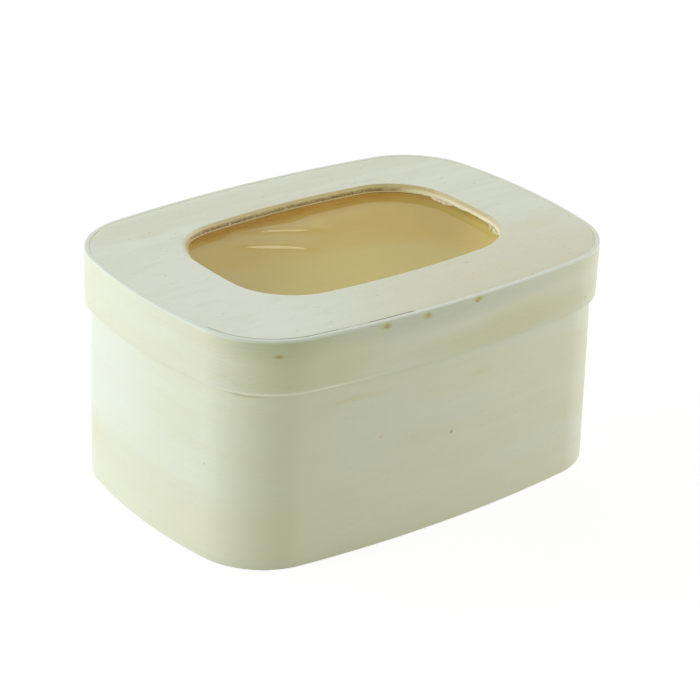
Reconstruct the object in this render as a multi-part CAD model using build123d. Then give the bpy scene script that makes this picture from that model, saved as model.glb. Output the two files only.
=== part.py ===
from build123d import *
import math
import os

# Outside of the box, in millimetres, over the lid band
box_length = 150.0
box_width = 108.0
box_height = 73.6
long_side_radius = 391.0
short_side_radius = 174.0
corner_radius = 26.2

# Bent veneer strips, and the wear on their outer edges
wall_thickness = 1.6
skirt_thickness = 1.6
skirt_height = 17.2
skirt_clearance = 0.35
edge_wear = 0.4

# Skived laps that close the strips at the middle of the back
lap_length = 12.0
lap_glue_thickness = 0.15

# Plywood panels, good face up, and the fit of each in its strip
upper_ply_thickness = 1.1
core_ply_thickness = 1.3
lower_ply_thickness = 0.6
panel_fit = 0.06

# Bead of glue round the base, up the wall and in over the base
bead_size = 1.4

# Window in the lid, a little off the lid's centre, with its upper edge sanded
window_length = 97.5
window_width = 63.0
window_long_radius = 264.0
window_short_radius = 207.0
window_corner_radius = 21.2
window_shift_x = 1.2
window_shift_y = 2.2
window_edge_round = 0.25

# Clear film, kept off the wall, and the tape that holds it
film_thickness = 0.3
film_wall_gap = 3.0
tape_thickness = 0.2
tape_window_margin = 2.0
tape_film_margin = 1.0

# Pins through the skirt into the panel's core ply
pin_diameter = 0.8
pin_length = 9.0
pin_fit = 0.03
pin_place_shares = (-0.35, -0.157, 0.092)

# Reach of a cut past the faces that it cuts
overrun = 1.0

# Levels that follow from the sizes
core_low = lower_ply_thickness
core_high = core_low + core_ply_thickness
panel_thickness = core_high + upper_ply_thickness
panel_underside = box_height - panel_thickness
skirt_underside = box_height - skirt_height
wall_inset = skirt_thickness + skirt_clearance
panel_inset = skirt_thickness + panel_fit
base_inset = wall_inset + wall_thickness + panel_fit
film_inset = wall_inset + wall_thickness + film_wall_gap


def crossing(centre_y, reach_y, centre_x, reach_x):
    """Where a circle round a point of the Y axis meets one round a point of the X axis."""
    apart = math.hypot(centre_x, centre_y)
    along = (reach_y ** 2 - reach_x ** 2 + apart ** 2) / (2 * apart)
    across = math.sqrt(reach_y ** 2 - along ** 2)
    unit_x = centre_x / apart
    unit_y = -centre_y / apart
    x = along * unit_x + across * unit_y
    y = centre_y + along * unit_y - across * unit_x
    return x, y


def bowed_face(length, width, long_radius, short_radius, round_radius, inset=0):
    """A rectangle with bowed sides and round corners, drawn in by the inset, on the XY plane."""
    long_centre_y = width / 2 - long_radius
    short_centre_x = length / 2 - short_radius
    round_x, round_y = crossing(
        long_centre_y, long_radius - round_radius, short_centre_x, short_radius - round_radius
    )
    long_angle = math.atan2(round_y - long_centre_y, round_x)
    short_angle = math.atan2(round_y, round_x - short_centre_x)
    middle_angle = (long_angle + short_angle) / 2
    reach = round_radius - inset
    long_x = round_x + reach * math.cos(long_angle)
    long_y = round_y + reach * math.sin(long_angle)
    short_x = round_x + reach * math.cos(short_angle)
    short_y = round_y + reach * math.sin(short_angle)
    middle_x = round_x + reach * math.cos(middle_angle)
    middle_y = round_y + reach * math.sin(middle_angle)
    bow_y = width / 2 - inset
    bow_x = length / 2 - inset
    edges = []
    for side in (1, -1):
        edges.append(ThreePointArc((-long_x, side * long_y), (0, side * bow_y), (long_x, side * long_y)))
        edges.append(ThreePointArc((side * short_x, -short_y), (side * bow_x, 0), (side * short_x, short_y)))
        for half in (1, -1):
            start = (side * long_x, half * long_y)
            middle = (side * middle_x, half * middle_y)
            end = (side * short_x, half * short_y)
            edges.append(ThreePointArc(start, middle, end))
    return make_face(Wire(edges))


def slab(face, low, high):
    """The face raised into a solid between two heights."""
    return Pos(0, 0, low) * extrude(face, amount=high - low)


def box_face(inset):
    """The lid band's outer outline, drawn in by the inset."""
    return bowed_face(box_length, box_width, long_side_radius, short_side_radius, corner_radius, inset)


def window_face(margin):
    """The window's outline, grown by the margin, where the window lies in the lid."""
    outline = bowed_face(
        window_length, window_width, window_long_radius, window_short_radius, window_corner_radius, -margin
    )
    return Pos(window_shift_x, window_shift_y, 0) * outline


def lap_glue(inset, thickness, low, high):
    """Slanting layer of glue through the strip at the middle of the back, between two heights."""
    outside_y = box_width / 2 - inset + overrun
    inside_y = box_width / 2 - inset - thickness - overrun
    slope = lap_length / thickness
    half_lap = lap_length / 2 + overrun * slope
    layer = Polyline(
        (-half_lap, outside_y),
        (-half_lap + lap_glue_thickness * slope, outside_y),
        (half_lap + lap_glue_thickness * slope, inside_y),
        (half_lap, inside_y),
        close=True,
    )
    return slab(make_face(layer), low, high)


def strip(inset, thickness, low, high, worn_face):
    """A strip bent to the outline, worn round one outer edge, and the glue in its skived lap."""
    whole = slab(box_face(inset), low, high)
    worn = chamfer(whole.faces().sort_by(Axis.Z)[worn_face].edges(), edge_wear)
    ring = worn - slab(box_face(inset + thickness), low - overrun, high + overrun)
    layer = lap_glue(inset, thickness, low - overrun, high + overrun)
    return ring - layer, ring & layer


def pin_places():
    """Where each pin enters the long sides, the back ones set out as the front ones turned round."""
    places = []
    for side in (-1, 1):
        centre_y = side * (box_width / 2 - long_side_radius)
        for share in pin_place_shares:
            x = -side * share * box_length / 2
            angle = math.asin(x / long_side_radius)
            y = centre_y + side * long_side_radius * math.cos(angle)
            inward = (-math.sin(angle), -side * math.cos(angle), 0)
            places.append(((x, y), inward))
    return places


def pins(radius, start, length):
    """One rod at each pin's place, from a depth under the outer face, along the middle of the core ply."""
    rods = []
    middle_height = panel_underside + core_low + core_ply_thickness / 2
    for (x, y), inward in pin_places():
        entry = (x + start * inward[0], y + start * inward[1], middle_height)
        rods.append(Plane(origin=entry, z_dir=inward) * extrude(Circle(radius), amount=length))
    return rods


def drilled(piece):
    """The piece with a hole wherever a pin runs through it."""
    for hole in pins(pin_diameter / 2 + pin_fit, -overrun, pin_length + overrun + pin_fit):
        piece = piece - hole
    return piece


def bead():
    """Triangular bead of glue on the base, round the foot of the wall."""
    low = panel_thickness
    high = panel_thickness + bead_size
    foot = Pos(0, 0, low) * box_face(base_inset + bead_size)
    head = Pos(0, 0, high) * box_face(base_inset)
    return slab(box_face(base_inset), low, high) - loft([foot, head])


def lid_ply(low, high):
    """One veneer of the lid's panel, with the window cut in it, drilled where the pins reach it."""
    whole = slab(box_face(panel_inset), low, high)
    return drilled(whole - slab(window_face(0), low - overrun, high + overrun))


def sanded(ply):
    """The veneer with the upper edge of its window rounded."""
    upper_face = ply.faces().sort_by(Axis.Z)[-1]
    return fillet(upper_face.inner_wires()[0].edges(), window_edge_round)


def base_ply(low, high):
    """One veneer of the base."""
    return slab(box_face(base_inset), low, high)


os.makedirs("parts", exist_ok=True)

# Wall of the box, worn round its foot
body_band, body_seam_glue = strip(wall_inset, wall_thickness, 0, panel_underside, 0)
export_step(body_band, "parts/body_band.step")
export_step(body_seam_glue, "parts/body_seam_glue.step")

# Base, three veneers face to face, and the bead that holds it
export_step(base_ply(0, core_low), "parts/base_outer_ply.step")
export_step(base_ply(core_low, core_high), "parts/base_core_ply.step")
export_step(base_ply(core_high, panel_thickness), "parts/base_inner_ply.step")
export_step(bead(), "parts/base_glue_bead.step")

# Lid band, worn round its top
lid_band, lid_seam_glue = strip(0, skirt_thickness, skirt_underside, box_height, -1)
export_step(drilled(lid_band), "parts/lid_band.step")
export_step(drilled(lid_seam_glue), "parts/lid_seam_glue.step")

# Lid panel, three veneers face to face
lid_top_ply = sanded(lid_ply(panel_underside + core_high, box_height))
export_step(lid_ply(panel_underside, panel_underside + core_low), "parts/lid_under_ply.step")
export_step(lid_ply(panel_underside + core_low, panel_underside + core_high), "parts/lid_core_ply.step")
export_step(lid_top_ply, "parts/lid_top_ply.step")

# Pins, sunk by the fit so that none stands proud of the band
export_step(Compound(children=pins(pin_diameter / 2, pin_fit, pin_length)), "parts/lid_pins.step")

# Tape ring under the panel, and the film on the tape
tape_low = panel_underside - tape_thickness
tape_hole = slab(window_face(tape_window_margin), tape_low - overrun, panel_underside + overrun)
film_tape = slab(box_face(film_inset + tape_film_margin), tape_low, panel_underside) - tape_hole
export_step(film_tape, "parts/film_tape.step")
export_step(slab(box_face(film_inset), tape_low - film_thickness, tape_low), "parts/window_film.step")
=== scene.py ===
import math

import bpy
import numpy as np
from mathutils import Matrix, Vector, geometry, noise


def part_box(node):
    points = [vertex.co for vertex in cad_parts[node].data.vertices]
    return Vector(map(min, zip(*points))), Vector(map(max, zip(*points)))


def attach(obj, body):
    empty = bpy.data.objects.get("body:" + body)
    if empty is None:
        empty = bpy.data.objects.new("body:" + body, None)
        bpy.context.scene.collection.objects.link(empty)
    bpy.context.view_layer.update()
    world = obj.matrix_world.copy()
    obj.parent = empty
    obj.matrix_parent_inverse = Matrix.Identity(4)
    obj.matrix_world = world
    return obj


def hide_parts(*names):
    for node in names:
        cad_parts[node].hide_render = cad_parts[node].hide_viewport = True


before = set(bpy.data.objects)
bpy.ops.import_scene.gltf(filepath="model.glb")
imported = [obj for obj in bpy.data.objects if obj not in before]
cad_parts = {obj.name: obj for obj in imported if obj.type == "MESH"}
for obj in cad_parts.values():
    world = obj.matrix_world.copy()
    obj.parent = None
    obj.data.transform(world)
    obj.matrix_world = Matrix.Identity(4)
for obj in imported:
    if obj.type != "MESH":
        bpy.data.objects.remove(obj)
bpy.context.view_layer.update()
mm = 0.001

# Wall of the box
# One strip of poplar veneer, peeled from the log, steamed and bent round a wooden form. Its grain
# runs round the box. The foot is sanded lightly, and both ends are skived for the lap at the back.

long_side_radius = 391 * mm
short_side_radius = 174 * mm
corner_radius = 26.2 * mm
veneer_thickness = 1.6 * mm
lap_length = 12 * mm
lap_glue_thickness = 0.15 * mm
lap_glue_run = lap_glue_thickness * lap_length / veneer_thickness
lap_fade = 40 * mm
feather_raggedness = 0.5 * mm
feather_span = 2.2 * mm
dent_span = (38 * mm, 21 * mm, 1)
corner_change = 0.3
face_rows = 28
edge_rows = 4
arris_rows = 4
# Rows of the rim and the foot take a paler tone: sanding wear, and a painted highlight along them.
rim_wear_and_highlight = 0.55
foot_wear_and_highlight = 0.3
real_edge = math.radians(40)
fibre_relief = 0.011 * mm
endless = 9000


class Form:
    """The outline of the wooden form: bowed sides and round corners.

    A place on it is the distance round the outside from the middle of the front, towards +X.
    """

    def __init__(self, half_length, half_width, long_radius, short_radius, round_radius, middle=(0, 0)):
        long_y = half_width - long_radius
        short_x = half_length - short_radius
        reach_y = long_radius - round_radius
        reach_x = short_radius - round_radius
        apart = math.hypot(long_y, short_x)
        along = (reach_y**2 - reach_x**2 + apart**2) / (2 * apart)
        across = math.sqrt(reach_y**2 - along**2)
        round_x = (along * short_x - across * long_y) / apart
        round_y = long_y - (along * long_y + across * short_x) / apart
        steep = math.atan2(round_y - long_y, round_x)
        shallow = math.atan2(round_y, round_x - short_x)
        quarter, half = math.pi / 2, math.pi
        arcs = [
            (0, -long_y, long_radius, -quarter, -steep),
            (round_x, -round_y, round_radius, -steep, -shallow),
            (short_x, 0, short_radius, -shallow, shallow),
            (round_x, round_y, round_radius, shallow, steep),
            (0, long_y, long_radius, steep, half - steep),
            (-round_x, round_y, round_radius, half - steep, half - shallow),
            (-short_x, 0, short_radius, half - shallow, half + shallow),
            (-round_x, -round_y, round_radius, half + shallow, half + steep),
            (0, -long_y, long_radius, half + steep, half + quarter),
        ]
        self.arcs = np.array(arcs)
        self.middle = middle
        self.lengths = self.arcs[:, 2] * (self.arcs[:, 4] - self.arcs[:, 3])
        self.starts = np.cumsum(self.lengths) - self.lengths
        self.round = self.lengths.sum()

    def arc(self, place):
        """The arc at each place, how far along it the place is, and the direction outwards there."""
        place = np.mod(place, self.round)
        index = np.searchsorted(self.starts, place, side="right") - 1
        arc = self.arcs[index]
        into = place - self.starts[index]
        return index, arc, into, arc[..., 3] + into / arc[..., 2]

    def point(self, place, inset):
        """The points that lie an inset inside the outline."""
        index, arc, into, angle = self.arc(place)
        reach = arc[..., 2] - inset
        x = arc[..., 0] + reach * np.cos(angle) + self.middle[0]
        y = arc[..., 1] + reach * np.sin(angle) + self.middle[1]
        return np.stack([x, y], -1)

    def outward(self, place):
        angle = self.arc(place)[3]
        return np.stack([np.cos(angle), np.sin(angle)], -1)

    def cornering(self, place):
        """1 in a round corner and 0 on a side, with a soft change between."""
        index, arc, into, angle = self.arc(place)
        length = self.lengths[index]
        nearest_end = np.minimum(into, length - into)
        return np.where(index % 2 == 1, np.clip(nearest_end / (corner_change * length), 0, 1), 0)


def eased(share):
    share = np.clip(share, 0, 1)
    return share * share * (3 - 2 * share)


def uneven(points, span, seed):
    """Smooth unevenness from -1 to 1 at each point, which changes over about the span."""
    flat = (np.asarray(points) / np.asarray(span)).reshape(-1, 3) + seed
    return np.array([noise.noise(Vector(p)) for p in flat]).reshape(np.shape(points)[:-1])


def along_only(place):
    return np.stack([place, 0 * place, 0 * place], -1)


def section(low, high, thickness, arrises):
    """Depth and height round a strip's section: up the outer face, in over the top, down, and out.

    Each size is given for every station along the strip. The four arrises are those of the foot
    outside, the top outside, the top inside and the foot inside. The last result gives each row's
    share of the pale tone, which is sanding wear and a painted highlight on the rim and the foot.
    """
    foot_out, top_out, top_in, foot_in = arrises
    face = np.linspace(0, 1, face_rows)
    edge = np.linspace(0, 1, edge_rows)
    angles = np.linspace(0, math.pi / 2, arris_rows + 2)[1:-1]
    turns = [(1 - math.cos(angle), 1 - math.sin(angle)) for angle in angles]
    rows = [(0 * low, low + foot_out + share * (high - top_out - low - foot_out), 0) for share in face]
    rows += [(top_out * near, high - top_out * far, 1) for near, far in turns]
    rows += [(top_out + share * (thickness - top_in - top_out), high, rim_wear_and_highlight) for share in edge]
    rows += [(thickness - top_in * far, high - top_in * near, 0) for near, far in turns]
    inside = [high - top_in - share * (high - top_in - low - foot_in) for share in face]
    rows += [(thickness + 0 * low, height, 0) for height in inside]
    rows += [(thickness - foot_in * near, low + foot_in * far, 0) for near, far in turns]
    rows += [(thickness - foot_in - share * (thickness - foot_in - foot_out), low, 0) for share in edge]
    rows += [(foot_out * far, low + foot_out * near, foot_wear_and_highlight) for near, far in turns]
    depth = np.stack([row[0] for row in rows], 1)
    height = np.stack([row[1] for row in rows], 1)
    worn = np.array([row[2] for row in rows], float)
    return depth, height, worn


def lofted(name, rings, grain, marks, materials, row_material=None, closed=False):
    """A piece through rings of points. Its ends are capped, or joined if it is closed.

    The grain of a point is its place in the wood, first along the fibres. Its marks are: its share of
    the pale tone (sanding wear and a painted highlight); its darkening (dirt in the joint, and painted
    shade at the foot of the window's cut); and how far its grain is opened, by the bend or by the saw.
    """
    stations, rows = rings.shape[:2]
    number = np.arange(stations * rows).reshape(stations, rows)
    here = number if closed else number[:-1]
    ahead = np.roll(number, -1, 0) if closed else number[1:]
    faces = np.stack([here, ahead, np.roll(ahead, -1, 1), np.roll(here, -1, 1)], -1).reshape(-1, 4).tolist()
    if not closed:
        faces += [number[0].tolist(), number[-1, ::-1].tolist()]
    mesh = bpy.data.meshes.new(name)
    mesh.from_pydata(rings.reshape(-1, 3).tolist(), [], faces)
    if row_material is not None:
        index = np.zeros(len(faces), np.int32)
        index[: len(here) * rows] = np.tile(row_material, len(here))
        mesh.polygons.foreach_set("material_index", index)
    return piece_of(name, mesh, grain.reshape(-1, 3), marks.reshape(-1, 3), materials)


def piece_of(name, mesh, grain, marks, materials):
    """The mesh as an object, with its grain and marks on it, shaded smooth between real edges."""
    corner = np.zeros(len(mesh.loops), np.int32)
    mesh.loops.foreach_get("vertex_index", corner)
    for label, values in (("grain", grain), ("marks", marks)):
        layer = mesh.attributes.new(label, "FLOAT_VECTOR", "CORNER")
        layer.data.foreach_set("vector", values[corner].astype(np.float32).ravel())
    if signed_volume(mesh) < 0:
        mesh.flip_normals()
    for material in materials:
        mesh.materials.append(material)
    mesh.shade_smooth()
    mesh.set_sharp_from_angle(angle=real_edge)
    piece = bpy.data.objects.new(name, mesh)
    bpy.context.scene.collection.objects.link(piece)
    return piece


def signed_volume(mesh):
    mesh.calc_loop_triangles()
    corners = np.array([t.vertices[:] for t in mesh.loop_triangles])
    points = np.array([v.co[:] for v in mesh.vertices])
    a, b, c = (points[corners[:, k]] for k in range(3))
    return float(np.einsum("ij,ij->i", a, np.cross(b, c)).sum()) / 6


def bent_strip(
    name, form, inset, thickness, edges, ends, step, arrises, materials, dents=0, grime=0, lean_out=0
):
    """A strip, or the glue in its lap, bent round the form between two places.

    The edges are its lowest and highest heights, as functions of the place, and so are the
    arrises. Towards the back its stations lean over, so that its ends are skived. It may also
    lean out from the form, by a function of the place and the height.
    """
    place = np.linspace(ends[0], ends[1], max(3, round((ends[1] - ends[0]) / step)))
    low, high = (edge(place) for edge in edges)
    worn_to = [arris(place) for arris in arrises]
    depth, height, worn = section(low, high, thickness, worn_to)
    share = depth / thickness
    lean = eased(1 - (form.round / 2 - np.abs(place)) / lap_fade)[:, None]
    ragged = uneven(along_only(height), feather_span, 5)
    feather = feather_raggedness * ragged * (1 - share) ** 2
    where = place[:, None] + lean * (lap_length * (0.5 - share) + feather)
    grain = np.stack([where, height, depth], -1)
    wave = 0.5 + 0.5 * uneven(grain, dent_span, 3)
    sunk = dents * wave * (1 - share) if dents else 0
    sunk = sunk - lean_out(where, height) if lean_out else sunk
    xy = form.point(where, inset + depth + sunk)
    rings = np.concatenate([xy, height[..., None]], -1)
    marks = np.zeros_like(grain)
    marks[..., 0] = worn
    marks[..., 1] = grime(where, share, height) if grime else 0
    marks[..., 2] = form.cornering(where)
    inner_face = (share.mean(0) > 0.995).astype(int)
    return lofted(name, rings, grain, marks, materials, inner_face)


class Finish:
    """A material laid out step by step, which ends in one shader."""

    def __init__(self, name):
        self.material = bpy.data.materials.new(name)
        self.material.use_nodes = True
        self.tree = self.material.node_tree
        self.shader = self.tree.nodes["Principled BSDF"]

    def step(self, kind, settings, sockets, output=0):
        node = self.tree.nodes.new("ShaderNode" + kind)
        for name, value in settings.items():
            setattr(node, name, value)
        for key, value in sockets.items():
            if isinstance(value, bpy.types.NodeSocket):
                self.tree.links.new(value, node.inputs[key])
            else:
                node.inputs[key].default_value = value
        return node.outputs[output]

    def sum(self, a, b):
        return self.step("Math", {"operation": "ADD"}, {0: a, 1: b})

    def times(self, a, b):
        return self.step("Math", {"operation": "MULTIPLY"}, {0: a, 1: b})

    def read(self, layer):
        return self.step("Attribute", {"attribute_name": layer}, {}, "Vector")

    def parts(self, vector):
        node = self.tree.nodes.new("ShaderNodeSeparateXYZ")
        self.tree.links.new(vector, node.inputs[0])
        return node.outputs

    def grainy(self, place, per_metre, detail=3.0, rough=0.55, shift=(0, 0, 0)):
        """Noise with its own number of changes a metre along, across and through the grain."""
        scaled = self.step("VectorMath", {"operation": "MULTIPLY"}, {0: place, 1: per_metre})
        moved = self.step("VectorMath", {"operation": "ADD"}, {0: scaled, 1: shift})
        sockets = {"Vector": moved, "Scale": 1.0, "Detail": detail, "Roughness": rough}
        return self.step("TexNoise", {}, sockets)

    def above(self, value, low, high, most=1.0):
        """0 below low and the most above high."""
        sockets = {"Value": value, "From Min": low, "From Max": high, "To Max": most}
        return self.step("MapRange", {"interpolation_type": "SMOOTHSTEP"}, sockets)

    def tinted(self, colour, tint, share):
        """The colour, given way to the tint by the share."""
        tint = tint if isinstance(tint, bpy.types.NodeSocket) else (*tint, 1)
        colour = colour if isinstance(colour, bpy.types.NodeSocket) else (*colour, 1)
        return self.step("Mix", {"data_type": "RGBA"}, {0: share, 6: colour, 7: tint}, 2)

    def spot(self, place, at, reach):
        """1 in the middle of a soft oval spot and 0 outside it."""
        away = self.step("VectorMath", {"operation": "SUBTRACT"}, {0: place, 1: at})
        shares = self.step("VectorMath", {"operation": "DIVIDE"}, {0: away, 1: reach})
        far = self.step("VectorMath", {"operation": "LENGTH"}, {0: shares}, "Value")
        sockets = {"Value": far, "From Min": 0.2, "From Max": 1.0, "To Min": 1.0, "To Max": 0.0}
        return self.step("MapRange", {"interpolation_type": "SMOOTHSTEP"}, sockets)

    def close(self, colour, roughness, height, depth):
        """Puts the colour, the roughness and a relief of the given depth on the shader."""
        links = self.tree.links
        links.new(colour, self.shader.inputs["Base Color"])
        links.new(roughness, self.shader.inputs["Roughness"])
        relief = self.step("Bump", {}, {"Strength": 1.0, "Distance": depth, "Height": height})
        links.new(relief, self.shader.inputs["Normal"])
        return self.material


class Poplar(Finish):
    """Bare peeled poplar: pale bands, fine fibres, short pores, and soft ochre clouds along the grain."""

    def __init__(self, name, pale, warm, ochre, clouds=0.35, seed=0.0, fibres=0.22, checks=0.05):
        super().__init__(name)
        self.place = self.read("grain")
        self.worn, self.grime, self.opened = self.parts(self.read("marks"))
        shift = (seed, 1.7 * seed, 0.6 * seed)
        band = self.grainy(self.place, (7, 62, 62), 4.0, 0.6, shift)
        cloud = self.grainy(self.place, (15, 75, 75), 3.0, 0.5, (seed + 4, seed, 9))
        self.fibre = self.grainy(self.place, (95, 1900, 1900), 3.0, 0.65, shift)
        pore = self.grainy(self.place, (330, 4200, 4200), 1.0, 0.5, shift)
        self.pore = self.above(pore, 0.62, 0.74)
        colour = self.tinted(pale, warm, self.above(band, 0.36, 0.66))
        colour = self.tinted(colour, ochre, self.above(cloud, 0.55, 0.78, clouds))
        dark_fibre = self.above(self.fibre, 0.5, 0.8, fibres)
        colour = self.tinted(colour, tuple(0.86 * c for c in warm), dark_fibre)
        colour = self.tinted(colour, tuple(0.7 * c for c in ochre), self.times(self.pore, 0.14))
        if checks:
            check = self.grainy(self.place, (240, 5600, 5600), 1.0, 0.5, (2, seed, 5))
            check = self.times(self.above(check, 0.5, 0.7, checks), self.opened)
            colour = self.tinted(colour, tuple(0.55 * c for c in ochre), check)
        self.colour = colour
        self.height = self.sum(self.times(self.fibre, 0.8), self.times(self.pore, -0.35))

    def marked(self, spots):
        """Adds spots, each with its place and its reach in millimetres, its colour and its strength.

        Where the third reach is left out, the spot goes right through.
        """
        wander = self.grainy(self.place, (130, 1100, 1100), 3.0)
        for at, reach, colour, strength in spots:
            at, reach = (*at, 0)[:3], (*reach, endless)[:3]
            inside = self.spot(self.place, [c * mm for c in at], [c * mm for c in reach])
            broken = self.times(inside, self.above(wander, 0.0, 0.55, strength))
            self.colour = self.tinted(self.colour, colour, broken)

    def finished(self, sanded, dirt_and_shade):
        # The pale tone given as sanded is sanding wear and a painted highlight on rims and feet.
        colour = self.tinted(self.colour, sanded, self.times(self.worn, 0.75))
        # Darkening: dirt in joints, and painted shade at the foot of the window's cut.
        colour = self.tinted(colour, dirt_and_shade, self.grime)
        rough = self.sum(self.times(self.fibre, 0.2), 0.56)
        return self.close(colour, rough, self.height, fibre_relief)


veneer_pale = (0.79, 0.825, 0.69)
veneer_warm = (0.78, 0.79, 0.61)
veneer_ochre = (0.71, 0.68, 0.42)
# Pale bluish tone of sanded rims and feet, which is also their painted highlight.
sanded_and_highlit = (0.77, 0.84, 0.78)
joint_grime = (0.17, 0.11, 0.05)
inside_pale = (0.88, 0.76, 0.51)
inside_warm = (0.86, 0.70, 0.39)
inside_ochre = (0.84, 0.60, 0.26)
# Colours of painted light inside the box: a golden glow, and an amber shade under the lid.
painted_glow_golden = (0.86, 0.66, 0.26)
painted_underlid_amber = (0.64, 0.23, 0.03)
inside_low = (0.90, 0.82, 0.68)


def flat(value):
    """A size that is the same at every place."""
    return lambda place: value + 0 * place


lid_low, lid_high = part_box("lid_band")
wall_low, wall_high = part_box("body_band")
box_form = Form(lid_high.x, -lid_low.y, long_side_radius, short_side_radius, corner_radius)
back = box_form.round / 2
wall_inset = lid_high.x - wall_high.x
wall_foot_arris = 0.45 * mm
cut_arris = 0.12 * mm
spring_out_ends = 1.4 * mm
spring_out_front = 0.5 * mm
spring_out_stop = 0.63
wall_step = 0.9 * mm
wall_dents = 0.10 * mm


def sprung_out(place, height):
    """How far the wall has sprung out from the form: most at the foot of its ends, nothing at its top."""
    out = box_form.outward(place)
    ahead = np.clip(1 - out[..., 1] / spring_out_stop, 0, 1)
    at_foot = spring_out_ends * np.abs(out[..., 0]) * ahead + spring_out_front * np.clip(-out[..., 1], 0, 1)
    return at_foot * (wall_high.z - height) / (wall_high.z - wall_low.z)


wall_wood = Poplar("wall_wood", veneer_pale, veneer_warm, veneer_ochre, clouds=0.30, seed=2.0)
wall_spots = [
    ((-134, 38), (42, 24), (0.80, 0.87, 0.80), 0.55),  # paler left end
    ((-69, 55.6), (9, 0.8), (0.50, 0.47, 0.28), 0.7),  # painted shadow under the chipped foot of the skirt
    ((-60, 30), (28, 60), (0.79, 0.81, 0.575), 0.5),  # yellower near corner
    ((1.4, 30.2), (0.9, 0.8), (0.38, 0.36, 0.16), 0.7),  # three flecks
    ((-25.3, 35.9), (1.3, 0.9), (0.62, 0.48, 0.26), 0.5),
    ((-83.8, 30.6), (0.5, 0.5), (0.30, 0.28, 0.14), 0.4),
    ((-35, 50.4), (19, 1.3), (0.74, 0.72, 0.44), 0.45),  # two ochre streaks
    ((11.5, 47), (7, 1.6), (0.74, 0.72, 0.45), 0.45),
]
wall_wood.marked(wall_spots)
wall_outside = wall_wood.finished(sanded_and_highlit, joint_grime)
wall_lining = Poplar("wall_inside_wood", inside_pale, inside_warm, inside_ochre, clouds=0.25, seed=6.0)
lining_spots = [
    ((0, 20), (endless, 29), inside_low, 0.9),  # pale low down
    ((0, 51), (endless, 9), painted_glow_golden, 0.65),  # painted warm glow, for daylight through the walls
    ((163, 51), (36, 10), painted_glow_golden, 0.7),  # more painted glow at the right of the back
    ((187, 51.8), (19, 2.4), inside_ochre, 0.5),
    ((0, 64), (endless, 8.5), painted_underlid_amber, 0.70),  # painted dim warm shade under the lid, for light through the doubled wood
]
wall_lining.marked(lining_spots)
wall_inside = wall_lining.finished(inside_pale, joint_grime)

wall = bent_strip(
    "box_wall",
    box_form,
    wall_inset,
    veneer_thickness,
    (flat(wall_low.z), flat(wall_high.z)),
    (-back, back - lap_glue_run),
    wall_step,
    (flat(wall_foot_arris), flat(cut_arris), flat(cut_arris), flat(cut_arris)),
    (wall_outside, wall_inside),
    dents=wall_dents,
    lean_out=sprung_out,
)
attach(wall, "box")
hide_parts("body_band")

# Glue in the wall's lap
# A film of wood glue between the two skived ends. It has dried cream-coloured and a little glossy,
# and it shows as a thin slanting line at the back.

glue_cream = (0.76, 0.68, 0.46)
glue_amber = (0.66, 0.52, 0.27)
glue_shrink = 0.05 * mm
glue_step = 0.3 * mm
glue_relief = 0.06 * mm


def dried_glue(name, seed, pale):
    glue = Finish(name)
    place = glue.read("grain")
    cloud = glue.grainy(place, (260, 260, 260), 3.0, 0.5, (seed, 0, 0))
    fine = glue.grainy(place, (1500, 1500, 1500), 2.0, 0.5, (0, seed, 0))
    colour = glue.tinted(pale, glue_amber, glue.above(cloud, 0.35, 0.7, 0.35))
    rough = glue.sum(glue.times(fine, 0.3), 0.22)
    return glue.close(colour, rough, glue.sum(cloud, glue.times(fine, 0.3)), glue_relief)


def lap_glue(name, inset, low, high, node, body, inside):
    layer = bent_strip(
        name,
        box_form,
        inset + glue_shrink,
        veneer_thickness - glue_shrink,
        (flat(low + 3 * glue_shrink), flat(high - 3 * glue_shrink)),
        (back - lap_glue_run, back),
        glue_step,
        (flat(glue_shrink), flat(glue_shrink), flat(0.2 * glue_shrink), flat(0.2 * glue_shrink)),
        (dried_glue(name + "_finish", 3.0, glue_cream), inside),
    )
    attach(layer, body)
    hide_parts(node)


lap_glue("box_lap_glue", wall_inset, wall_low.z, wall_high.z, "body_seam_glue", "box", wall_inside)

# Base of the box
# Three poplar veneers pressed into thin plywood and sawn to fit inside the wall. The grain of the
# faces runs along the box and that of the core across it.

panel_pale = (0.82, 0.86, 0.735)
panel_warm = (0.78, 0.79, 0.64)
panel_ochre = (0.76, 0.71, 0.50)
core_pale = (0.84, 0.82, 0.70)
core_warm = (0.78, 0.72, 0.52)
core_end_dark = (0.24, 0.14, 0.06)
core_end_light = (0.56, 0.43, 0.24)
face_end_dark = (0.56, 0.46, 0.27)
face_end_light = (0.68, 0.60, 0.40)
core_cut = (0.80, 0.76, 0.58)
core_rubbed = (0.66, 0.56, 0.35)
face_cut = (0.68, 0.58, 0.37)
fleck_brown = (0.40, 0.27, 0.12)
base_step = 1.2 * mm
base_shares = (0.02, 0.45, 0.8, 0.96)
least_opened = 0.15


class Ply(Poplar):
    """Poplar in plywood. Where it is cut, it is tan, and across the fibres it is dark and speckled."""

    def cut(self, along, across):
        """Colours the cut edge by how far it crosses the fibres."""
        speck = self.grainy(self.place, (1200, 1300, 3600), 2.0, 0.7, (3, 3, 3))
        patch = self.grainy(self.place, (200, 420, 420), 2.0, 0.5, (8, 1, 5))
        dark = self.tinted(across[0], across[1], self.above(speck, 0.45, 0.62))
        dark = self.tinted(dark, along, self.above(patch, 0.52, 0.75, 0.6))
        edge = self.tinted(along, dark, self.above(self.opened, 0.60, 0.95))
        self.colour = self.tinted(self.colour, edge, self.above(self.opened, 0.0, 0.1))
        rough_cut = self.times(self.above(self.opened, 0.0, 0.3), self.sum(speck, -0.5))
        self.height = self.sum(self.height, self.times(rough_cut, 3.0))


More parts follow.
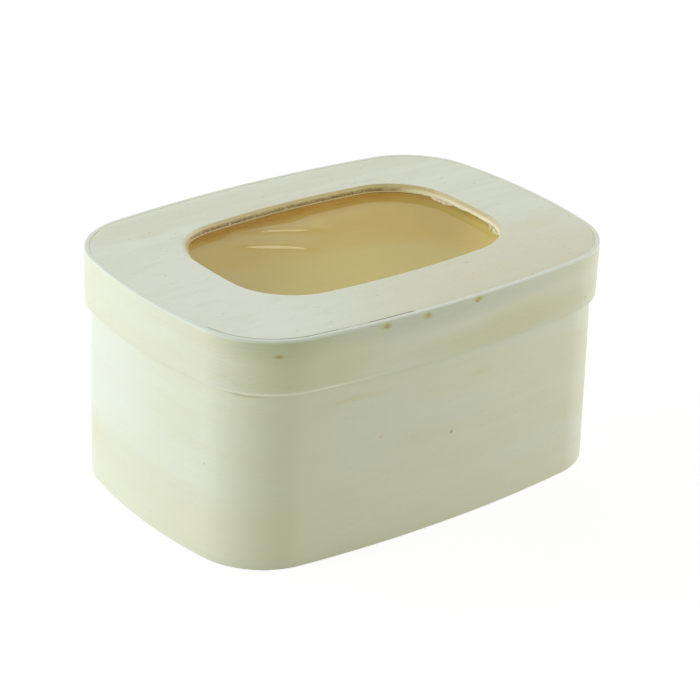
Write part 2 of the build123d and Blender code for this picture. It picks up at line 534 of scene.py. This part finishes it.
def ply_finish(name, seed, clouds=0.3, core=False, spots=(), dirt_and_shade=joint_grime):
    pale, warm = (core_pale, core_warm) if core else (panel_pale, panel_warm)
    wood = Ply(name, pale, warm, panel_ochre, clouds, seed, fibres=0.16, checks=0)
    if core:
        wood.cut(core_cut, (core_end_dark, core_end_light))
    else:
        wood.cut(face_cut, (face_end_dark, face_end_light))
    wood.marked(spots)
    mottle = wood.grainy(wood.place, (70, 230, 230), 4.0, 0.7, (seed, 6, 3))
    wood.colour = wood.tinted(wood.colour, tuple(0.9 * c for c in warm), wood.above(mottle, 0.5, 0.72, 0.3))
    fleck = wood.grainy(wood.place, (520, 1500, 1500), 1.0, 0.5, (5, seed, 2))
    wood.colour = wood.tinted(wood.colour, fleck_brown, wood.above(fleck, 0.72, 0.80, 0.5))
    return wood.finished(sanded_and_highlit, dirt_and_shade)


def is_core(node):
    return node.endswith("core_ply")


def opened_by_saw(crossing):
    """How far a cut edge shows open grain, by how far it crosses the fibres."""
    return least_opened + (1 - least_opened) * crossing


def base_ply(name, node, seed, arris):
    low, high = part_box(node)
    core = is_core(node)
    inset = lid_high.x - high.x
    place = np.arange(0, box_form.round, base_step)
    quarter_turn = np.linspace(0, math.pi / 2, arris_rows)
    levels = [(share, 0, high.z) for share in base_shares]
    for angle in quarter_turn:
        levels.append((1, arris * (1 - math.sin(angle)), high.z - arris * (1 - math.cos(angle))))
    for angle in quarter_turn:
        levels.append((1, arris * (1 - math.cos(angle)), low.z + arris * (1 - math.sin(angle))))
    levels += [(share, 0, low.z) for share in reversed(base_shares)]
    rings = []
    for share, sunk, height in levels:
        xy = box_form.point(place, inset + sunk - sprung_out(place, height)) * share
        rings.append(np.concatenate([xy, np.full((len(place), 1), height)], 1))
    rings = np.array(rings)
    grain = rings[..., [1, 0, 2]] if core else rings
    marks = np.zeros_like(rings)
    crossing = np.abs(box_form.outward(place)[:, 1 if core else 0])
    edge = slice(len(base_shares), -len(base_shares))
    marks[edge, :, 2] = opened_by_saw(crossing)
    piece = lofted(name, rings, grain, marks, [ply_finish(name + "_wood", seed, core=core)])
    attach(piece, "box")
    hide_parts(node)


base_ply("base_face_below", "base_outer_ply", seed=11.0, arris=0.2 * mm)
base_ply("base_core", "base_core_ply", seed=14.0, arris=0.03 * mm)
base_ply("base_face_above", "base_inner_ply", seed=17.0, arris=0.1 * mm)

# Bead of glue round the base
# A run of wood glue in the corner between the base and the wall, laid from a nozzle and left to
# sag as it dried, so that it is hollow across and lumpy along.

bead_low, bead_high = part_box("base_glue_bead")
bead_size = bead_high.z - bead_low.z
bead_inset = lid_high.x - bead_high.x
bead_lump = 6 * mm
bead_hollow = 1.7
bead_sag = 0.22
bead_step = 0.9 * mm
bead_place = np.arange(0, box_form.round, bead_step)
bead_flow = 1 - bead_sag * (1 + uneven(along_only(bead_place), bead_lump, 2))
bead_shares = [(0.0, 0.0), (1.0, 0.0)]
for turn in np.linspace(0, 1, 7)[1:-1]:
    bead_shares.append(((1 - turn) ** bead_hollow, turn**bead_hollow))
bead_shares.append((0.0, 1.0))
bead_rings = []
for inward, upward in bead_shares:
    z = bead_low.z + bead_size * upward * bead_flow
    inset = bead_inset + bead_size * inward * bead_flow - sprung_out(bead_place, z)
    xy = box_form.point(bead_place, inset)
    bead_rings.append(np.concatenate([xy, z[:, None]], 1))
bead_rings = np.array(bead_rings).transpose(1, 0, 2)
bead = lofted(
    "base_glue_run",
    bead_rings,
    bead_rings,
    np.zeros_like(bead_rings),
    [dried_glue("base_glue_finish", 8.0, glue_cream)],
    closed=True,
)
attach(bead, "box")
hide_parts("base_glue_bead")

# Skirt of the lid
# A narrower strip of the same veneer, bent round the same form. Its rim is sanded soft with the lid's
# panel. It shows the rust of the pins, one pin knot, and grime in the open stretch of the joint.
# A highlight is painted along its rim and along its foot at the near corner.

joint_stretches = [
    (-84, -60, 0.60),
    (-60, -41.5, 0.85),
    (-41.5, -31, 0.36),
    (-60.6, -58.9, 1.0),
    (-42.5, -41.2, 0.9),
    (-39, -37.5, 0.6),
    (-36, -33.5, 0.6),
    (-31.4, -15.5, 1.0),
]
joint_fade = 0.7 * mm
joint_opening = 0.12 * mm
joint_shut = 0.03 * mm
light_edge_places = (-74 * mm, -71 * mm, -44 * mm, -34 * mm)
rim_soft_places = (-112 * mm, -88 * mm, -50 * mm, -28 * mm)
chip_place = -71 * mm
chip_depth = 0.28 * mm
chip_end = -110 * mm
chip_run_out = 25 * mm
chip_step = 0.3 * mm
foot_wander = 0.10 * mm
foot_wander_span = 30 * mm
foot_light_edge = 0.30 * mm
rim_round = 0.40 * mm
rim_softened = 0.40 * mm
rim_wander = 0.08 * mm
rim_wander_span = 18 * mm
grime_depth = 0.5 * mm
grime_fade = 0.2 * mm
skirt_step = 0.7 * mm
skirt_dents = 0.07 * mm
pin_front_places = (-26.1 * mm, -11.8 * mm, 6.8 * mm)
pin_low, pin_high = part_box("lid_pins")
pin_height = (pin_low.z + pin_high.z) / 2
pin_radius = (pin_high.z - pin_low.z) / 2


def between(place, marks):
    """0 outside the first and last mark, 1 between the middle two, with a soft change."""
    rising = eased((place - marks[0]) / (marks[1] - marks[0]))
    falling = eased((marks[3] - place) / (marks[3] - marks[2]))
    return rising * falling


def opened_joint(place):
    """1 where the joint between the skirt and the panel has opened fully, and 0 where it is shut.

    Each stretch has its two ends in millimetres, and how far it has opened.
    """
    share = 0 * place
    for start, end, most in joint_stretches:
        start, end = start * mm, end * mm
        marks = (start - joint_fade, start + joint_fade, end - joint_fade, end + joint_fade)
        share = np.maximum(share, most * between(place, marks))
    return share


def joint_gap(place):
    return joint_shut + joint_opening * opened_joint(place)


def skirt_foot(place):
    wander = foot_wander * (1 + uneven(along_only(place), foot_wander_span, 9))
    broken_off = eased((chip_place - place) / chip_step)
    chipped = chip_depth * broken_off * eased((place - chip_end) / chip_run_out)
    return lid_low.z + wander + chipped


def foot_arris(place):
    return cut_arris + foot_light_edge * between(place, light_edge_places)


def rim_arris(place):
    softened = rim_softened * between(place, rim_soft_places)
    return rim_round + softened + rim_wander * uneven(along_only(place), rim_wander_span, 4)


def skirt_grime(where, share, height):
    in_joint = eased((share - 0.90) / 0.08) * eased((height - (lid_high.z - grime_depth)) / grime_fade)
    return in_joint * (0.05 + 0.85 * opened_joint(where))


def wrapped(place):
    return (place + back) % box_form.round - back


all_pin_places = [*pin_front_places, *(wrapped(back + place) for place in pin_front_places)]
rust_core = (0.54, 0.47, 0.18)
rust_halo = (0.66, 0.62, 0.36)
rust_crept = [(0.2, 0), (0.4, -0.1), (0.7, 0.7)]
skirt_wood = Poplar(
    "skirt_wood", veneer_pale, veneer_warm, veneer_ochre, clouds=0.30, seed=9.0, checks=0.20
)
skirt_spots = [
    ((-4, 72.0), (80, 7.0), (0.66, 0.70, 0.59), 0.85),  # greyer under the rim
    ((-58, 71.5), (24, 8.0), (0.58, 0.63, 0.43), 0.80),  # darker near corner
    ((-50, 62), (34, 13), (0.72, 0.74, 0.48), 0.70),  # yellower below it
    ((-56, 56.9), (34, 0.85), (0.94, 0.95, 0.79), 1.0),  # painted highlight along the foot at the near corner
    ((0, 73.65), (endless, 0.45), (0.88, 0.90, 0.77), 0.8),  # painted highlight along the rim
    ((-60.3, 68.9), (3.4, 1.1), rust_halo, 0.45),  # pin knot
    ((-60.3, 68.9), (1.7, 0.85), (0.46, 0.40, 0.16), 0.75),
    ((54.8, 60.0), (0.5, 0.5), (0.26, 0.22, 0.10), 0.9),  # fleck
    ((14, 59.5), (46, 7.0), (0.69, 0.69, 0.45), 0.60),  # two ochre clouds
    ((32, 61.5), (36, 8.0), (0.70, 0.68, 0.47), 0.55),
]
for pin_place, (crept_along, crept_up) in zip(all_pin_places, 2 * rust_crept):
    rust_along, rust_up = pin_place / mm + crept_along, pin_height / mm + crept_up
    skirt_spots.append(((rust_along - 0.4, rust_up), (3.0, 1.6), rust_halo, 0.9))
    skirt_spots.append(((rust_along, rust_up), (1.9, 1.3), rust_core, 0.85))
skirt_wood.marked(skirt_spots)
skirt_outside = skirt_wood.finished(sanded_and_highlit, joint_grime)
skirt_lining = Poplar("skirt_inside_wood", inside_pale, inside_warm, inside_ochre, clouds=0.35, seed=12.0)
skirt_inside = skirt_lining.finished(inside_pale, joint_grime)

skirt = bent_strip(
    "lid_skirt",
    box_form,
    0,
    veneer_thickness,
    (skirt_foot, flat(lid_high.z)),
    (-back, back - lap_glue_run),
    skirt_step,
    (foot_arris, rim_arris, joint_gap, flat(cut_arris)),
    (skirt_outside, skirt_inside),
    dents=skirt_dents,
    grime=skirt_grime,
)
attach(skirt, "lid")
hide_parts("lid_band")
lap_glue("lid_lap_glue", 0, lid_low.z, lid_high.z, "lid_seam_glue", "lid", skirt_inside)

# Panel of the lid
# Plywood like the base, with the window sawn out of it. The saw has scorched the cut a little where it
# ran askew, the upper arris is sanded soft, and the lowest veneer is torn where its fibres were cut
# across. Along the foot of the cut, shade is painted dark amber on the lowest veneer.

window_length = 97.5 * mm
window_width = 63 * mm
window_long_radius = 264 * mm
window_short_radius = 207 * mm
window_corner_radius = 21.2 * mm
window_middle = (1.2 * mm, 2.2 * mm)
window_form = Form(
    window_length / 2,
    window_width / 2,
    window_long_radius,
    window_short_radius,
    window_corner_radius,
    window_middle,
)
panel_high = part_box("lid_top_ply")[1]
panel_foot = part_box("lid_under_ply")[0]
panel_inset = lid_high.x - panel_high.x
top_shares = (0.0, 0.03, 0.12, 0.35, 0.65, 0.9, 0.985)
# Dark amber shade painted on the lower rows of the lowest veneer's cut, just above the film.
cut_foot_shade = 0.95
cut_foot_shade_rows = 0.45
cut_foot_shade_amber = (0.20, 0.09, 0.015)
splinter_width = 0.7 * mm
torn_open = 0.07
torn_places = [
    (53 * mm, 4.6 * mm, 2.0 * mm),
    (66.5 * mm, 4.2 * mm, -1.1 * mm),
    (80.5 * mm, 5.0 * mm, 1.3 * mm),
]
slant_run = 2.6 * mm
slant_start = 0.42
slant_full = 0.95
torn_fade = 0.4 * mm
torn_fray = 0.12 * mm
saw_mark_span = 0.45 * mm
ply_stations = 1150
cut_rows = 7
rim_drop = 0.08 * mm
sanded_arris = 0.30 * mm
sawn_arris = 0.02 * mm


def torn(window_place, edge, seed):
    """How far the lowest veneer reaches in past the cut, where its fibres tore at the right end."""
    reach = 0
    for middle_place, half_width, most in torn_places:
        share = np.clip(1 - np.abs(window_place - middle_place) / half_width, 0, 1)
        reach = reach + most * np.minimum(1.6 * share, 1)
    frayed = np.array([noise.cell(Vector((seed, y / splinter_width, 0))) for x, y in edge])
    return reach * (0.85 + 0.3 * frayed) + torn_fray * np.abs(frayed)


def slanted(out, depth):
    """How far the saw ran in at the window's left end, where it was held askew."""
    return slant_run * depth * eased((-out[:, 0] - slant_start) / (slant_full - slant_start))


def window_ply(name, node, seed, spots, window_arris, saw_marks, clouds=0.3):
    """One veneer of the panel, from the cut edge of the window out to the skirt.

    Its rings run out over the upper face, down at the skirt, in under the lower face, up the cut,
    and over the sanded arris.
    """
    low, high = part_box(node)
    core = is_core(node)
    is_top = node == "lid_top_ply"
    is_lowest = node == "lid_under_ply"
    share = np.arange(ply_stations) / ply_stations
    window_place = share * window_form.round
    skirt_place = share * box_form.round
    out = window_form.outward(window_place)
    edge = window_form.point(window_place, 0)
    rim = box_form.point(skirt_place, panel_inset + (joint_gap(wrapped(skirt_place)) - joint_shut))
    reach = torn(window_place, edge, seed) if is_lowest else 0 * share
    inner = window_form.point(window_place, -window_arris) + np.clip(-reach, 0, None)[:, None] * out
    whole = 1 - np.clip(reach / torn_fade, 0, 1)
    cut_crossing = np.abs(out[:, 1 if core else 0])
    opened = opened_by_saw(cut_crossing)
    joint_dirt = 0.85 * opened_joint(wrapped(skirt_place)) if is_top else 0
    rings, marks = [], []

    def ring(xy, height, dirt_and_shade=0, crossed=0):
        rings.append(np.concatenate([xy, (height + 0 * share)[:, None]], 1))
        marks.append(np.stack([0 * share, dirt_and_shade + 0 * share, crossed + 0 * share], 1))

    for part in top_shares:
        ring(inner + part * (rim - inner), high.z)
    ring(rim, high.z - rim_drop, joint_dirt)
    ring(rim, low.z)
    for part in reversed(top_shares):
        ring(inner + part * (rim - inner), low.z)
    for row in np.linspace(0, 1, cut_rows):
        level = low.z + (high.z - window_arris - low.z) * row + 0 * share
        at = np.concatenate([edge, level[:, None]], 1)
        rough = saw_marks * (0.5 + 0.5 * cut_crossing) * uneven(at, saw_mark_span, seed)
        moved = edge - rough[:, None] * out
        moved[:, 0] += slanted(out, (panel_high.z - level) / (panel_high.z - panel_foot.z))
        moved[:, 0] -= out[:, 0] * reach * np.where(reach > 0, 1 - 0.5 * row, 1)
        # Painted shade along the foot of the cut, kept off the torn bits.
        cut_foot_shaded = cut_foot_shade if row < cut_foot_shade_rows and is_lowest else 0
        ring(moved, level, whole * cut_foot_shaded, opened * whole + torn_open * (1 - whole))
    for angle in np.linspace(0, math.pi / 2, 5)[1:-1]:
        moved = window_form.point(window_place, -window_arris * (1 - math.cos(angle)))
        ring(moved, high.z - window_arris * (1 - math.sin(angle)), 0, opened)
    points = np.stack(rings, 1)
    grain = points[..., [1, 0, 2]] if core else points
    # The lowest veneer darkens with painted shade, the others with joint grime.
    grime = cut_foot_shade_amber if is_lowest else joint_grime
    finish = ply_finish(name + "_wood", seed, clouds, core, spots, grime)
    piece = lofted(name, points, grain, np.stack(marks, 1), [finish], closed=True)
    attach(piece, "lid")
    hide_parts(node)
    return piece


askew_brown = ((0.42, 0.33, 0.14), 0.9)
askew_cut = ((-41, 25, 71.8), (8, 15, 2.2), *askew_brown)
top_spots = [
    ((-55, -12, 73.6), (62, 70), (0.85, 0.90, 0.80), 0.75),  # paler left end
    ((34, -50, 73.6), (95, 50), (0.74, 0.73, 0.55), 0.80),  # darker along the front
    ((-48, 35, 73.6), (9, 2.4), (0.74, 0.68, 0.42), 0.35),  # three ochre clouds
    ((56, -22, 73.6), (16, 5), (0.78, 0.72, 0.50), 0.40),
    ((20, -42, 73.6), (34, 6), (0.79, 0.73, 0.53), 0.40),
    askew_cut,  # burnt where the saw ran askew
]
core_spots = [
    ((0, 0, 72.6), (endless, endless, 0.75), core_rubbed, 0.75),  # rubbed light along the middle
    ((25, -41, 71.8), (15, 8, 2.2), *askew_brown),
]
window_ply("lid_face_above", "lid_top_ply", 21.0, top_spots, sanded_arris, saw_marks=0.03 * mm, clouds=0.15)
core_ply = window_ply("lid_core", "lid_core_ply", 24.0, core_spots, sawn_arris, saw_marks=0.10 * mm)
window_ply("lid_face_below", "lid_under_ply", 27.0, [askew_cut], sawn_arris, saw_marks=0.05 * mm)

# Pins
# Headless steel pins, shot through the skirt into the core of the panel. Each is sunk a little, with
# its struck end rounded and rusty brown and its far end drawn to a point.

pin_sunk = 0.03 * mm
pin_sides = 20
steel_bare = (0.62, 0.54, 0.26)
steel_rusty = (0.50, 0.41, 0.17)
rust_relief = 0.03 * mm
pin_bore = pin_radius + 0.03 * mm
pin_profile = [(0.0, 0.0), (0.01, 0.55), (0.03, 0.88), (0.09, 1.0), (7.6, 1.0), (8.3, 0.62), (8.75, 0.16)]
bore_profile = [(-0.6, 1.0), (9.10, 1.0)]


def turned(name, profile, radius, places, start):
    """Turned rods, one at each place, pointing into the lid.

    The profile is the depth in millimetres and the share of the radius.
    """
    points, faces, grain = [], [], []
    angles = np.linspace(0, 2 * math.pi, pin_sides, endpoint=False)
    for place in places:
        x, y = box_form.point(np.array(place), 0)
        nx, ny = box_form.outward(np.array(place))
        first = len(points)
        for depth, share in profile:
            sunk = start + depth * mm
            for angle in angles:
                side = radius * max(share, 0.02) * math.cos(angle)
                rise = radius * max(share, 0.02) * math.sin(angle)
                points.append((x - nx * sunk - ny * side, y - ny * sunk + nx * side, pin_height + rise))
                grain.append((sunk, side, rise))
        for level in range(len(profile) - 1):
            for k in range(pin_sides):
                a = first + level * pin_sides + k
                b = first + level * pin_sides + (k + 1) % pin_sides
                faces.append((a, a + pin_sides, b + pin_sides, b))
        faces.append(tuple(range(first, first + pin_sides)))
        faces.append(tuple(reversed(range(len(points) - pin_sides, len(points)))))
    mesh = bpy.data.meshes.new(name)
    mesh.from_pydata(points, [], faces)
    return mesh, np.array(grain)


def pin_steel():
    steel = Finish("pin_steel")
    place = steel.read("grain")
    rust = steel.grainy(place, (1800, 1800, 1800), 4.0, 0.6)
    eaten = steel.above(rust, 0.35, 0.6)
    colour = steel.tinted(steel_bare, steel_rusty, eaten)
    steel.tree.links.new(steel.sum(steel.times(eaten, -0.5), 0.6), steel.shader.inputs["Metallic"])
    return steel.close(colour, steel.sum(steel.times(eaten, 0.4), 0.38), rust, rust_relief)


pin_mesh, pin_grain = turned("lid_brads", pin_profile, pin_radius, all_pin_places, pin_sunk)
pins = piece_of("lid_brads", pin_mesh, pin_grain, np.zeros_like(pin_grain), [pin_steel()])
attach(pins, "lid")
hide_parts("lid_pins")


def bored(piece):
    """Bores the piece for the pins, each hole a hair wider than its pin."""
    mesh, grain = turned("pin_bores", bore_profile, pin_bore, all_pin_places, 0)
    cutter = piece_of("pin_bores", mesh, grain, np.zeros_like(grain), [])
    cut = piece.modifiers.new("bored", "BOOLEAN")
    cut.object = cutter
    cut.solver = "EXACT"
    bpy.context.view_layer.update()
    state = bpy.context.evaluated_depsgraph_get()
    cut_mesh = bpy.data.meshes.new_from_object(
        piece.evaluated_get(state), preserve_all_data_layers=True, depsgraph=state
    )
    piece.modifiers.clear()
    piece.data = cut_mesh
    bpy.data.objects.remove(cutter)


bored(skirt)
bored(core_ply)

# Tape under the panel
# A ring of clear double-sided tape, slightly milky, between the panel and the film. It keeps clear
# of the window's cut, so the panel hides it.

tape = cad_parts["film_tape"]
milky = Finish("milky_tape")
tape_place = milky.step("TexCoord", {}, {}, "Object")
tape_cloud = milky.grainy(tape_place, (180, 180, 180), 3.0)
tape_clear = (0.86, 0.83, 0.70)
tape_milky = (0.78, 0.72, 0.54)
tape_relief = 0.04 * mm
tape_colour = milky.tinted(tape_clear, tape_milky, milky.above(tape_cloud, 0.3, 0.7))
tape_rough = milky.sum(milky.times(tape_cloud, 0.3), 0.2)
tape.data.materials.clear()
tape.data.materials.append(milky.close(tape_colour, tape_rough, tape_cloud, tape_relief))

# Film in the window
# A sheet of clear stiff film stuck under the panel. It is faintly yellow, lies in slow waves, and has
# two short creases that catch the light.

film_low, film_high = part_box("window_film")
film_inset = lid_high.x - film_high.x
film_tint = (1.0, 0.97, 0.86)
film_shine = (0.66, 0.70, 0.65)
crease_ends = [
    ((-24.4 * mm, 29.3 * mm), (6.5 * mm, 14.3 * mm)),
    ((-28.1 * mm, 20.5 * mm), (-5.2 * mm, 3.8 * mm)),
]
crease_width_near = 2.0 * mm
crease_width_far = 7.0 * mm
crease_rise = 0.55 * mm
crease_reach_near = 3.0 * mm
crease_reach_far = 7.0 * mm
wave_rise = 0.05 * mm
wave_span = (26 * mm, 19 * mm, 1)
film_pressed = 0.01 * mm
film_step = 1.6 * mm
film_grid = 2.4 * mm
film_border = 5 * mm
film_columns = range(-31, 32)
film_rows = range(-21, 22)


def kept(place, middle, reach, power):
    """1 at the middle and 0 at the reach, with the change later and more sudden at a higher power."""
    return np.clip(1 - ((place - middle) / reach) ** power, 0, 1)


def crease_shape(x, y):
    """How far the film rises in its creases, which run out softly at their ends."""
    rise = 0
    for start, end in crease_ends:
        along = Vector(end) - Vector(start)
        length = along.length
        unit = along / length
        run = ((x - start[0]) * unit.x + (y - start[1]) * unit.y) / length
        off = -(x - start[0]) * unit.y + (y - start[1]) * unit.x
        off = off - 0.05 * length * np.sin(math.pi * np.clip(run, 0, 1))
        taper = np.clip(4 * run * (1 - run), 0, 1) ** 0.6
        width = np.where(off < 0, crease_width_near, crease_width_far)
        rise = rise + crease_rise * taper * np.exp(-((off / width) ** 2))
    return rise


def film_mesh():
    """The film's two faces and its edge, with the points closer together at the creases."""
    outline = box_form.point(np.arange(0, box_form.round, film_step), film_inset)
    spots = [Vector(p) for p in outline]
    border = len(spots)
    half_length = lid_high.x - film_inset
    half_width = -lid_low.y - film_inset
    for i in film_columns:
        for j in film_rows:
            x = (i + 0.5 * (j % 2)) * film_grid
            y = j * film_grid
            inside = max(abs(x) / (half_length - film_border), abs(y) / (half_width - film_border))
            cornered = (abs(x) / half_length) ** 4 + (abs(y) / half_width) ** 4
            if inside < 1 and cornered < 0.85:
                spots.append(Vector((x, y)))
    for start, end in crease_ends:
        along = Vector(end) - Vector(start)
        unit = along.normalized()
        across = Vector((-unit.y, unit.x))
        for run in np.linspace(-0.04, 1.04, 40):
            for off in np.linspace(-crease_reach_near, crease_reach_far, 34):
                spots.append(Vector(start) + along * float(run) + across * float(off))
    edges = [(k, (k + 1) % border) for k in range(border)]
    flat_points, _, triangles, _, _, _ = geometry.delaunay_2d_cdt(spots, edges, [], 1, 1e-6)
    xy = np.array([p[:] for p in flat_points])
    calm = kept(xy[:, 0], window_middle[0], 0.6 * window_length, 4)
    calm *= kept(xy[:, 1], window_middle[1], 0.6 * window_width, 4)
    wave = uneven(np.concatenate([xy, 0 * xy[:, :1]], 1), wave_span, 31)
    held = kept(xy[:, 1], window_middle[1], 0.54 * window_width, 12)
    lift = calm * wave_rise * wave + held * crease_shape(xy[:, 0], xy[:, 1])
    top = np.concatenate([xy, (film_high.z - film_pressed + lift)[:, None]], 1)
    below = np.concatenate([xy, (film_low.z + lift)[:, None]], 1)
    n = len(xy)
    ups = [tuple(t) for t in triangles]
    downs = [tuple(n + k for k in reversed(t)) for t in triangles]
    used = dict.fromkeys(pair for t in ups for pair in zip(t, t[1:] + t[:1]))
    rim = [(a, b) for a, b in used if (b, a) not in used]
    sides = [(b, a, n + a, n + b) for a, b in rim]
    mesh = bpy.data.meshes.new("clear_window")
    mesh.from_pydata(np.concatenate([top, below]).tolist(), [], ups + downs + sides)
    return mesh


def clear_film():
    """Lets light straight through with a faint tint, and mirrors more the flatter it is seen."""
    film = Finish("clear_film")
    film.tree.nodes.remove(film.shader)
    haze = film.grainy(film.read("grain"), (300, 300, 300), 3.0)
    through = film.step("BsdfTransparent", {}, {"Color": (*film_tint, 1)})
    plain = film.step("BsdfTransparent", {}, {"Color": (1, 1, 1, 1)})
    rough = film.sum(film.times(haze, 0.05), 0.02)
    gloss = film.step("BsdfAnisotropic", {}, {"Color": (*film_shine, 1), "Roughness": rough})
    mirrored = film.step("Fresnel", {}, {"IOR": 1.52})
    front = film.step("MixShader", {}, {0: mirrored, 1: through, 2: gloss})
    behind_it = film.step("NewGeometry", {}, {}, "Backfacing")
    both = film.step("MixShader", {}, {0: behind_it, 1: front, 2: plain})
    film.tree.links.new(both, film.tree.nodes["Material Output"].inputs["Surface"])
    return film.material


window_mesh = film_mesh()
film_grain = np.array([v.co[:] for v in window_mesh.vertices])
window = piece_of("clear_window", window_mesh, film_grain, np.zeros_like(film_grain), [clear_film()])
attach(window, "lid")
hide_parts("window_film")

# Table and studio
# A white table, and soft daylight from large lamps at the left, behind and at the right, with a weak
# one in front, a small one above, and the pale room all round.

table_size = 14.0
table_gap = 0.05 * mm
table_mesh = bpy.data.meshes.new("table")
corners = [(-1, -1), (1, -1), (1, 1), (-1, 1)]
table_points = [(table_size / 2 * x, table_size / 2 * y, -table_gap) for x, y in corners]
table_mesh.from_pydata(table_points, [], [(0, 1, 2, 3)])
table = bpy.data.objects.new("table", table_mesh)
bpy.context.scene.collection.objects.link(table)

table_white = 0.80
table_shown = 0.22
table_glow = 0.86
white_from, white_by = 0.5, 2.0
paper = Finish("table_paper")
paper.shader.inputs["Base Color"].default_value = (table_white, table_white, table_white, 1)
paper.shader.inputs["Roughness"].default_value = 1.0
paper.shader.inputs["Specular IOR Level"].default_value = 0.0
seen = paper.step("BsdfDiffuse", {}, {"Color": (table_shown, table_shown, table_shown, 1)})
table_place = paper.step("TexCoord", {}, {}, "Object")
table_away = paper.step("VectorMath", {"operation": "LENGTH"}, {0: table_place}, "Value")
whiter_away = {"Value": table_away, "From Min": white_from, "From Max": white_by, "To Min": table_glow}
glow = paper.step("Emission", {}, {"Strength": paper.step("MapRange", {}, whiter_away)})
shown = paper.step("AddShader", {}, {0: seen, 1: glow})
camera_looks = paper.step("LightPath", {}, {}, "Is Camera Ray")
choice = paper.step("MixShader", {}, {0: camera_looks, 1: paper.shader.outputs[0], 2: shown})
paper.tree.links.new(choice, paper.tree.nodes["Material Output"].inputs["Surface"])
table_mesh.materials.append(paper.material)

room_light = 0.185
room_tone = (0.98, 1, 0.81)
room = bpy.data.worlds.new("room")
room.use_nodes = True
nodes, links = room.node_tree.nodes, room.node_tree.links
ambient = nodes["Background"]
ambient.inputs["Color"].default_value = (*room_tone, 1)
ambient.inputs["Strength"].default_value = room_light
white = nodes.new("ShaderNodeBackground")
white.inputs["Color"].default_value = (1, 1, 1, 1)
white.inputs["Strength"].default_value = 1.0
look = nodes.new("ShaderNodeLightPath")
clear = look.outputs["Is Camera Ray"]
for kind in ("Is Glossy Ray", "Is Transmission Ray"):
    either = nodes.new("ShaderNodeMath")
    either.operation = "MAXIMUM"
    links.new(clear, either.inputs[0])
    links.new(look.outputs[kind], either.inputs[1])
    clear = either.outputs[0]
choice = nodes.new("ShaderNodeMixShader")
links.new(clear, choice.inputs[0])
links.new(ambient.outputs[0], choice.inputs[1])
links.new(white.outputs[0], choice.inputs[2])
links.new(choice.outputs[0], nodes["World Output"].inputs["Surface"])
bpy.context.scene.world = room

middle = Vector((0, 0, lid_high.z / 2))


def lamp(name, towards, distance, size, watts, colour=(1, 1, 1)):
    light = bpy.data.lights.new(name, "AREA")
    light.shape = "SQUARE"
    light.size = size
    light.energy = watts
    light.color = colour
    holder = bpy.data.objects.new(name, light)
    away = Vector(towards).normalized()
    holder.location = middle + distance * away
    holder.rotation_euler = away.to_track_quat("Z", "Y").to_euler()
    bpy.context.scene.collection.objects.link(holder)


lamp("lamp_left", (-1, 0.40, 0.35), 1.5, 1.0, 12.4, (0.96, 0.98, 1))
lamp("lamp_behind", (-0.6, 1, 0.5), 1.5, 1.0, 9.4, (0.88, 0.90, 1))
lamp("lamp_right", (1, -0.32, 0.35), 1.5, 1.0, 15.2, (0.95, 0.93, 1))
lamp("lamp_front", (-0.1, -1, 0.25), 1.5, 0.9, 2.8, (1, 1, 0.6))
lamp("lamp_above", (0.35, 0.52, 0.85), 1.3, 0.45, 2.0)

# Glow through the walls
# Daylight that comes through the thin walls of the real box makes its inside glow. A soft warm lamp
# inside the box stands in for it, with a golden glow and an amber shade painted on the lining.

wall_glow = bpy.data.lights.new("glow_through_walls", "POINT")
wall_glow.shadow_soft_size = 22 * mm
wall_glow.energy = 0.0245
wall_glow.color = (0.81, 0.90, 0.44)
glow_holder = bpy.data.objects.new("glow_through_walls", wall_glow)
glow_holder.location = (36 * mm, -4 * mm, 34 * mm)
glow_holder.visible_camera = False
bpy.context.scene.collection.objects.link(glow_holder)

# Camera
# It stands at the front left, a little above the lid, and its roll and distance are those of the
# photograph.

camera_turn = math.radians(-38.79)
camera_rise = math.radians(25.42)
camera_roll = math.radians(2.33)
camera_distance = 762.8 * mm
camera_lens = 126.56
camera_sideways = 2.8 * mm
camera_upwards = -0.3 * mm
behind = Vector(
    (
        math.sin(camera_turn) * math.cos(camera_rise),
        -math.cos(camera_turn) * math.cos(camera_rise),
        math.sin(camera_rise),
    )
)
right = Vector((math.cos(camera_turn), math.sin(camera_turn), 0))
up = behind.cross(right)
rolled_right = math.cos(camera_roll) * right + math.sin(camera_roll) * up
rolled_up = -math.sin(camera_roll) * right + math.cos(camera_roll) * up
lens = bpy.data.cameras.new("camera")
lens.lens = camera_lens
lens.sensor_width = 36.0
lens.clip_start = 10 * mm
lens.clip_end = 20.0
camera = bpy.data.objects.new("camera", lens)
turned_to = Matrix((rolled_right, rolled_up, behind)).transposed().to_4x4()
stand = middle + camera_distance * behind + camera_sideways * rolled_right + camera_upwards * rolled_up
camera.matrix_world = Matrix.Translation(stand) @ turned_to
bpy.context.scene.collection.objects.link(camera)
bpy.context.scene.camera = camera
bpy.context.scene.view_settings.view_transform = "Standard"
